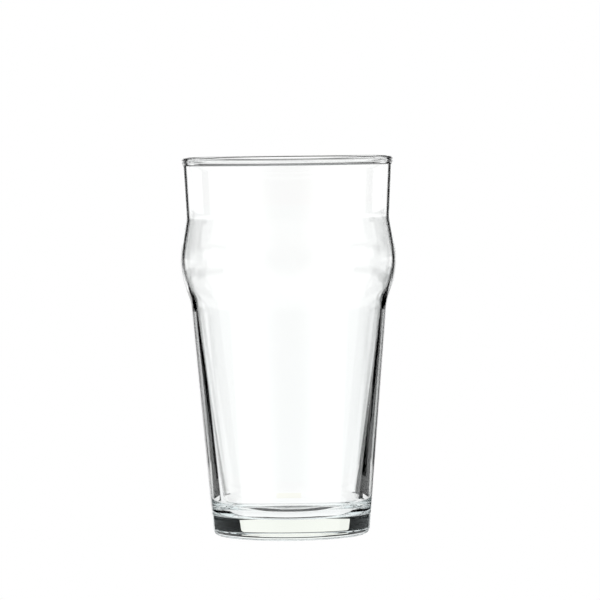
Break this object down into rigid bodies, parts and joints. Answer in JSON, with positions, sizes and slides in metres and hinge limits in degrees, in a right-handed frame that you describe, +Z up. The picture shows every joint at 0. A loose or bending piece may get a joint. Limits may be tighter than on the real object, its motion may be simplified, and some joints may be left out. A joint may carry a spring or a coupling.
{
  "type": "pint glass",
  "caption": "Tall clear beer tumbler with a tapered body, a rounded bulge below the mouth, a beaded rim and a thick flat base.",
  "frame": {"origin": "centre of the foot ring, on the surface that the glass stands on", "axes": "+Z up along the axis of the glass, out of its mouth; +X and +Y lie in the standing surface and are alike, because the glass is round"},
  "size_m": [0.0864, 0.0864, 0.1515],
  "materials": {
    "clear_glass": "gloss"
  },
  "bodies": {
    "root": {"glass_body": "clear_glass"}
  },
  "joints": []
}
